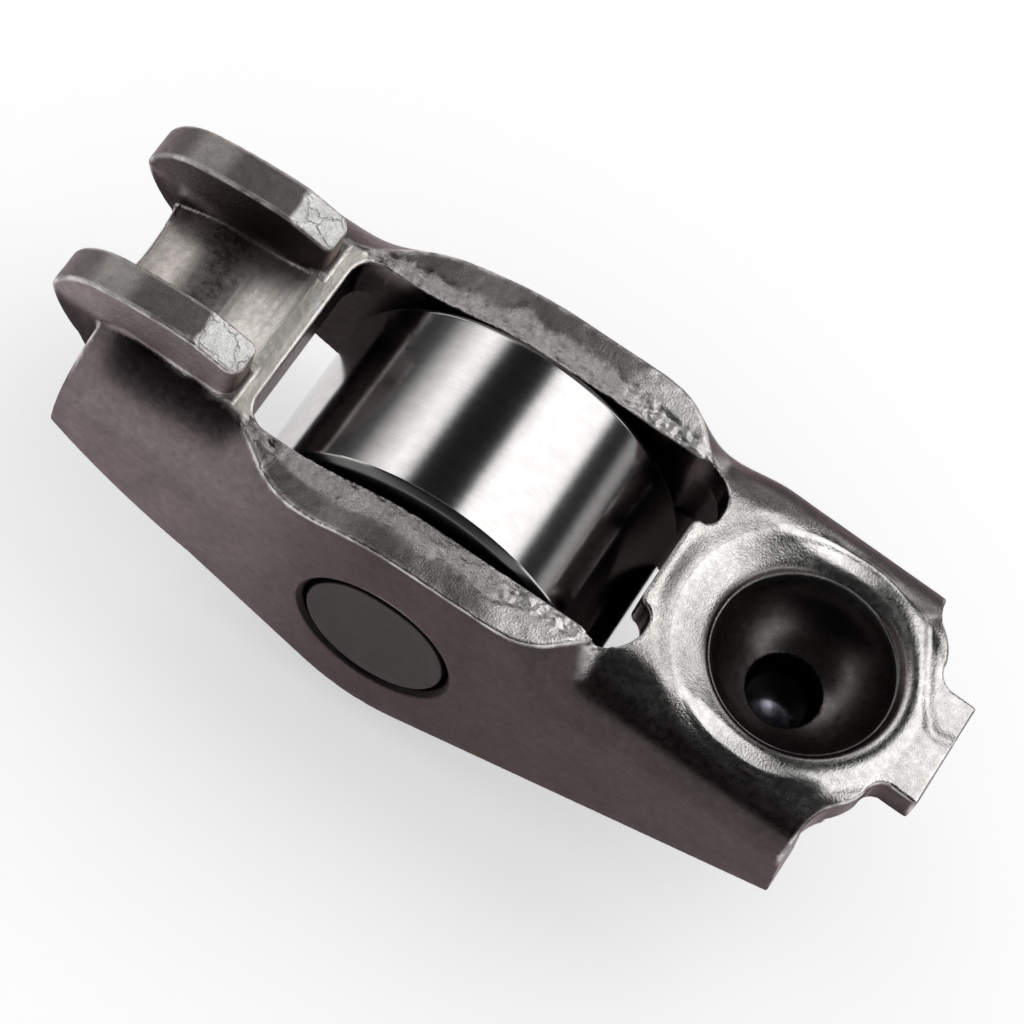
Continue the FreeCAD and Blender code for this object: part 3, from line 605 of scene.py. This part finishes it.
# Shader nodes.
class Shader:
    """A metal material and the nodes that feed it."""

    def __init__(self, name):
        self.material = bpy.data.materials.new(name)
        self.material.use_nodes = True
        self.tree = self.material.node_tree
        self.surface = self.tree.nodes["Principled BSDF"]
        self.surface.inputs["Metallic"].default_value = 1.0
        place = self.tree.nodes.new("ShaderNodeTexCoord")
        self.place = self.scaled(place.outputs["Object"], (PER_METRE,) * 3)

    def node(self, kind, **inputs):
        node = self.tree.nodes.new(kind)
        for name, value in inputs.items():
            self.feed(node.inputs[name.replace("_", " ")], value)
        return node

    def feed(self, socket, value):
        if isinstance(value, bpy.types.NodeSocket):
            self.tree.links.new(value, socket)
        else:
            socket.default_value = value

    def scaled(self, vector, factors):
        node = self.tree.nodes.new("ShaderNodeVectorMath")
        node.operation = "MULTIPLY"
        self.feed(node.inputs[0], vector)
        node.inputs[1].default_value = factors
        return node.outputs[0]

    def math(self, operation, first, second=0.0):
        node = self.tree.nodes.new("ShaderNodeMath")
        node.operation = operation
        self.feed(node.inputs[0], first)
        self.feed(node.inputs[1], second)
        return node.outputs[0]

    def noise(self, scale, detail=2.0, place=None, roughness=0.5):
        node = self.node("ShaderNodeTexNoise", Scale=scale, Detail=detail,
                         Roughness=roughness, Vector=place or self.place)
        return node.outputs["Fac"]

    def spread(self, value, low, high, to_low, to_high):
        node = self.tree.nodes.new("ShaderNodeMapRange")
        for socket, number in zip(node.inputs, (value, low, high, to_low, to_high)):
            self.feed(socket, number)
        return node.outputs[0]

    def attribute(self, name, output="Fac"):
        node = self.tree.nodes.new("ShaderNodeAttribute")
        node.attribute_name = name
        return node.outputs[output]

    def tint(self, colour, factor):
        """A colour made lighter or darker by a factor."""
        node = self.tree.nodes.new("ShaderNodeVectorMath")
        node.operation = "SCALE"
        self.feed(node.inputs[0], colour)
        self.feed(node.inputs["Scale"], factor)
        return node.outputs[0]

    def crackle(self, scale, width):
        """Thin irregular cracks where the surface has them, 1 on the flat and 0 in a crack."""
        node = self.node("ShaderNodeTexVoronoi", Scale=scale)
        node.feature = "DISTANCE_TO_EDGE"
        wander = self.node("ShaderNodeTexNoise", Scale=1.5, Detail=3.0, Vector=self.place)
        bent = self.tree.nodes.new("ShaderNodeVectorMath")
        self.feed(bent.inputs[0], self.place)
        self.feed(bent.inputs[1], wander.outputs["Color"])
        self.feed(node.inputs["Vector"], bent.outputs[0])
        crack = self.spread(node.outputs["Distance"], 0.0, width, 1.0, 0.0)
        return self.math("SUBTRACT", 1.0, self.math("MULTIPLY", crack, self.attribute("crackle")))

    def radius(self):
        """Distance from the axis, which is Y, in millimetres."""
        node = self.tree.nodes.new("ShaderNodeVectorMath")
        node.operation = "LENGTH"
        self.feed(node.inputs[0], self.scaled(self.place, (1, 0, 1)))
        return node.outputs["Value"]

    def reach(self):
        """Distance from the middle plane, in millimetres."""
        node = self.tree.nodes.new("ShaderNodeVectorMath")
        node.operation = "LENGTH"
        self.feed(node.inputs[0], self.scaled(self.place, (0, 1, 0)))
        return node.outputs["Value"]

    def bump(self, height, depth_mm, normal=None):
        node = self.node("ShaderNodeBump", Height=height, Distance=depth_mm * MM)
        if normal is not None:
            self.feed(node.inputs["Normal"], normal)
        return node.outputs[0]


def arm_steel():
    """Pressed and hardened steel: a fine grain over slow stains."""
    shader = Shader("arm_steel")
    shader.surface.inputs["Specular Tint"].default_value = (0.78, 0.70, 0.70, 1)
    stains = shader.spread(shader.noise(0.35, 4.0), 0.3, 0.7, 0.85, 1.15)
    mottle = shader.spread(shader.noise(2.2, 4.0), 0.3, 0.7, 0.85, 1.12)
    grain = shader.noise(9.0, 2.0, roughness=0.6)
    speck = shader.spread(grain, 0.3, 0.7, 0.92, 1.1)
    factor = shader.math("MULTIPLY", shader.math("MULTIPLY", stains, mottle), speck)
    tone = shader.attribute("tone", "Color")
    shader.feed(shader.surface.inputs["Base Color"], shader.tint(tone, factor))
    finish = shader.attribute("finish")
    uneven = shader.spread(shader.noise(3.0, 3.0), 0.3, 0.7, -0.05, 0.05)
    shader.feed(shader.surface.inputs["Roughness"], shader.math("ADD", finish, uneven))
    height = shader.math("MULTIPLY", grain, shader.attribute("grain"))
    normal = shader.bump(height, 0.03)
    crisp = shader.math("MULTIPLY", shader.noise(4.5, 5.0, roughness=0.75),
                        shader.attribute("crisp"))
    normal = shader.bump(crisp, 0.2, normal)
    normal = shader.bump(shader.crackle(0.7, 0.06), 0.022, normal)
    shader.feed(shader.surface.inputs["Normal"], normal)
    return shader.material


def turned_steel(name, colour, roughness, groove_mm, dull_and_shade=None, edge_tint=1.0):
    """Ground steel with fine lines round its axis, which is Y, and a part made rougher and
    darker, the darkening a painted shade.
    """
    shader = Shader(name)
    shader.surface.inputs["Specular Tint"].default_value = (edge_tint,) * 3 + (1,)
    lines = shader.noise(1.0, 4.0, shader.scaled(shader.place, (0.25, 22.0, 0.25)), 0.7)
    worn = shader.spread(shader.noise(1.3, 3.0), 0.35, 0.7, 0.94, 1.05)
    streak = shader.spread(lines, 0.3, 0.7, 0.93, 1.06)
    factor = shader.math("MULTIPLY", worn, streak)
    uneven = shader.spread(lines, 0.3, 0.7, roughness - 0.02, roughness + 0.03)
    # The part made rougher and darker; the darkening is a painted shade.
    if dull_and_shade:
        measure, low, high, dark = dull_and_shade
        value = shader.radius() if measure == "radius" else shader.reach()
        factor = shader.math("MULTIPLY", factor, shader.spread(value, low, high, 1.0, dark))
        uneven = shader.math("ADD", uneven, shader.spread(value, low, high, 0.0, 0.2))
    shader.feed(shader.surface.inputs["Base Color"], shader.tint(colour, factor))
    shader.feed(shader.surface.inputs["Roughness"], uneven)
    shader.feed(shader.surface.inputs["Normal"], shader.bump(lines, groove_mm))
    return shader.material


def lathe(name, profile, segments):
    """A closed ring, or a solid where the profile starts and ends on the axis."""
    bm = bmesh.new()
    rings = []
    for radius, place in profile:
        if radius == 0:
            rings.append([bm.verts.new((0, place, 0))])
            continue
        ring = []
        for i in range(segments):
            angle = 2 * math.pi * i / segments
            ring.append(bm.verts.new((radius * math.cos(angle), place,
                                      radius * math.sin(angle))))
        rings.append(ring)
    pairs = list(zip(rings, rings[1:]))
    if len(rings[0]) > 1:
        pairs.append((rings[-1], rings[0]))
    for low, high in pairs:
        for i in range(segments):
            j = (i + 1) % segments
            corners = [low[i % len(low)], low[j % len(low)],
                       high[j % len(high)], high[i % len(high)]]
            bm.faces.new(list(dict.fromkeys(corners)))
    bmesh.ops.recalc_face_normals(bm, faces=bm.faces)
    mesh = bpy.data.meshes.new(name)
    bm.to_mesh(mesh)
    bm.free()
    mesh.transform(Matrix.Scale(MM, 4))
    return mesh


def rounded(profile, radius, steps=4, closed=True):
    """An outline in which each corner is a short curve."""
    result = []
    count = len(profile)
    for i, corner in enumerate(profile):
        if not closed and i in (0, count - 1):
            result.append(corner)
            continue
        here = Vector(corner)
        before = Vector(profile[i - 1]) - here
        after = Vector(profile[(i + 1) % count]) - here
        reach = min(radius, before.length * 0.45, after.length * 0.45)
        start = here + before.normalized() * reach
        end = here + after.normalized() * reach
        for k in range(steps + 1):
            t = k / steps
            spot = start * (1 - t) ** 2 + here * (2 * t * (1 - t)) + end * t * t
            result.append((spot.x, spot.y))
    return result


def make_roller(material):
    chamfer = 0.35
    upper = [
        (ROLLER_RADIUS, ROLLER_HALF - chamfer),
        (ROLLER_RADIUS - chamfer, ROLLER_HALF),
        (RACE_RADIUS + chamfer, ROLLER_HALF),
        (RACE_RADIUS, ROLLER_HALF - chamfer),
    ]
    lower = [(r, -y) for r, y in reversed(upper)]
    mesh = lathe("roller", rounded(upper + lower, 0.12), 360)
    return add_piece("roller_ring", mesh, "roller", ["roller"], material)


def make_axle(material):
    """The axle, with the staking ring and the shallow dish at each end."""
    half = [
        (0.0, AXLE_END - 0.06),
        (3.0, AXLE_END - 0.05),
        (3.2, AXLE_END - 0.08),
        (3.4, AXLE_END - 0.03),
        (3.62, AXLE_END),
        (3.8, AXLE_END - 0.01),
        (3.9, AXLE_END - 0.12),
        (4.0, AXLE_END - 0.42),
        (AXLE_RADIUS, AXLE_END - 0.5),
    ]
    other = [(r, -y) for r, y in reversed(half)]
    mesh = lathe("axle", rounded(half + other, 0.06, closed=False), 240)
    return add_piece("axle_pin", mesh, "arm", ["axle"], material)


# Studio: directions are a turn about the Y axis from up, then a lift towards +Y.
CARD_DISTANCE = 0.6
CARD_STEPS = 8
AMBIENT = 0.55
FLOOR_SIZE = 1.5
FLOOR_TONE = 0.8
FLOOR_GLOW = 0.45
FLOOR_GAP = 0.05
FLAG_GAP = 0.04


def direction(turn_deg, lift_deg):
    turn, lift = math.radians(turn_deg), math.radians(lift_deg)
    return Vector((math.cos(lift) * math.sin(turn), math.sin(lift),
                   math.cos(lift) * math.cos(turn)))


def show_in_reflections(thing, lights=False):
    """Hides a stage object from all but reflections, and from soft light unless it lights."""
    thing.visible_camera = False
    thing.visible_shadow = False
    thing.visible_diffuse = lights
    thing.visible_transmission = False
    thing.visible_volume_scatter = False


def matt(name, tone):
    """A plain material with no shine, and its shader."""
    material = bpy.data.materials.new(name)
    material.use_nodes = True
    surface = material.node_tree.nodes["Principled BSDF"]
    surface.inputs["Base Color"].default_value = (tone, tone, tone, 1)
    surface.inputs["Roughness"].default_value = 1.0
    surface.inputs["Specular IOR Level"].default_value = 0.0
    return material, surface


def add_card(name, turns, lifts, glow, lights=False):
    """A curved studio card seen in reflections; glow is one value for each turn."""
    bm = bmesh.new()
    layer = bm.verts.layers.float.new("glow")
    rows = []
    for i, turn in enumerate(turns):
        row = []
        for k in range(CARD_STEPS + 1):
            lift = lifts[0] + (lifts[1] - lifts[0]) * k / CARD_STEPS
            vert = bm.verts.new(direction(turn, lift) * CARD_DISTANCE)
            vert[layer] = glow[i]
            row.append(vert)
        rows.append(row)
    for first, second in zip(rows, rows[1:]):
        for k in range(CARD_STEPS):
            bm.faces.new((first[k], first[k + 1], second[k + 1], second[k]))
    mesh = bpy.data.meshes.new(name)
    bm.to_mesh(mesh)
    bm.free()
    material = bpy.data.materials.new(name)
    material.use_nodes = True
    tree = material.node_tree
    tree.nodes.clear()
    glow_value = tree.nodes.new("ShaderNodeAttribute")
    glow_value.attribute_name = "glow"
    emission = tree.nodes.new("ShaderNodeEmission")
    output = tree.nodes.new("ShaderNodeOutputMaterial")
    tree.links.new(glow_value.outputs["Fac"], emission.inputs["Strength"])
    tree.links.new(emission.outputs[0], output.inputs["Surface"])
    mesh.materials.append(material)
    card = bpy.data.objects.new(name, mesh)
    bpy.context.scene.collection.objects.link(card)
    show_in_reflections(card, lights)


def seen_share(tree):
    """1 for what the camera, a reflection or clear glass shows, and 0 for light."""
    path = tree.nodes.new("ShaderNodeLightPath")
    seen = path.outputs["Is Camera Ray"]
    for name in ("Is Glossy Ray", "Is Transmission Ray"):
        either = tree.nodes.new("ShaderNodeMath")
        either.operation = "MAXIMUM"
        tree.links.new(seen, either.inputs[0])
        tree.links.new(path.outputs[name], either.inputs[1])
        seen = either.outputs[0]
    return seen


def add_world():
    world = bpy.data.worlds.new("world")
    world.use_nodes = True
    bpy.context.scene.world = world
    nodes, links = world.node_tree.nodes, world.node_tree.links
    nodes.clear()
    seen = seen_share(world.node_tree)
    ambient = nodes.new("ShaderNodeBackground")
    ambient.inputs["Strength"].default_value = AMBIENT
    white = nodes.new("ShaderNodeBackground")
    white.inputs["Strength"].default_value = 1.0
    for node in (ambient, white):
        node.inputs["Color"].default_value = (1, 1, 1, 1)
    mix = nodes.new("ShaderNodeMixShader")
    out = nodes.new("ShaderNodeOutputWorld")
    links.new(seen, mix.inputs[0])
    links.new(ambient.outputs[0], mix.inputs[1])
    links.new(white.outputs[0], mix.inputs[2])
    links.new(mix.outputs[0], out.inputs["Surface"])


def add_floor():
    mesh = bpy.data.meshes.new("floor")
    bm = bmesh.new()
    bmesh.ops.create_grid(bm, x_segments=1, y_segments=1, size=FLOOR_SIZE)
    bm.to_mesh(mesh)
    bm.free()
    floor = bpy.data.objects.new("floor", mesh)
    floor.location.z = -(ROLLER_RADIUS + FLOOR_GAP) * MM
    bpy.context.scene.collection.objects.link(floor)
    material, surface = matt("floor", FLOOR_TONE)
    surface.inputs["Emission Color"].default_value = (1, 1, 1, 1)
    shown = seen_share(material.node_tree)
    strength = material.node_tree.nodes.new("ShaderNodeMath")
    strength.operation = "MULTIPLY"
    material.node_tree.links.new(shown, strength.inputs[0])
    strength.inputs[1].default_value = FLOOR_GLOW
    material.node_tree.links.new(strength.outputs[0], surface.inputs["Emission Strength"])
    mesh.materials.append(material)


def add_floor_flag(name, corner, opposite):
    """A dark sheet just above the floor that only reflections show."""
    low, high = Vector(corner) * MM, Vector(opposite) * MM
    height = -(ROLLER_RADIUS + FLAG_GAP) * MM
    mesh = bpy.data.meshes.new(name)
    mesh.from_pydata([(low.x, low.y, height), (high.x, low.y, height),
                      (high.x, high.y, height), (low.x, high.y, height)], [], [(0, 1, 2, 3)])
    flag = bpy.data.objects.new(name, mesh)
    bpy.context.scene.collection.objects.link(flag)
    mesh.materials.append(matt(name, 0.0)[0])
    show_in_reflections(flag)


def add_studio():
    """Soft cards to both sides, with dark flags between and round them."""
    add_world()
    add_floor()
    low, high = 7, 50
    dark, darker = 0.02, 0.01
    middle = [-56 + 13 * i for i in range(9)]
    add_card("soft_right", (0, 3.2, 10, 40, 44, 47), (low, high),
             (0.25, 1.35, 1.75, 1.65, 1.4, 0.2), True)
    add_card("soft_left", (-70, -62, -54, -44, -36, -31), (low, high),
             (0.12, 0.55, 1.0, 1.6, 1.2, 0.05), True)
    add_card("strip", (62, 66, 72, 75), (low, high), (0.05, 0.4, 0.4, 0.05))
    add_card("flag_middle", (-31, 0), (low, high), (darker, darker))
    add_card("flag_right", (47, 62), (low, high), (dark, dark))
    add_card("flag_far_right", (75, 82, 90, 98), (low, high), (dark,) * 4)
    add_card("flag_left", (-98, -90, -80, -70), (low, high), (dark, 0.03, 0.05, 0.1))
    add_card("flag_front", middle, (-76, low - 1), (dark,) * 9)
    add_card("flag_back", middle, (high + 1, 90), (dark,) * 9)
    # A dark sheet under the socket end: a painted shadow on the floor, which only reflections
    # show.
    add_floor_flag("floor_shadow_sheet_right", (12, 2), (70, 26))
    add_floor_flag("floor_flag_back", (-30, 60), (60, 300))


add_camera()
arm_material = arm_steel()
make_arm(arm_material)
# Roller side faces and chamfers: rougher, and darkened as painted shade in the gaps against the
# walls.
make_roller(turned_steel("roller_steel", (0.62, 0.61, 0.60), 0.13, 0.0015,
                         ("reach", 4.72, 4.8, 0.25)))
# Axle ring outside 3.9 mm, the staking groove: rougher, and darkened as painted shade.
make_axle(turned_steel("axle_steel", (0.074, 0.062, 0.062), 0.34, 0.002,
                       ("radius", 3.84, 3.9, 0.15), 0.6))
needle_material = turned_steel("needle_steel", (0.5, 0.5, 0.49), 0.2, 0.001)
for name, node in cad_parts.items():
    if name.startswith("needle"):
        node.data.materials.clear()
        node.data.materials.append(needle_material)
add_studio()

bpy.context.scene.view_settings.view_transform = "Standard"
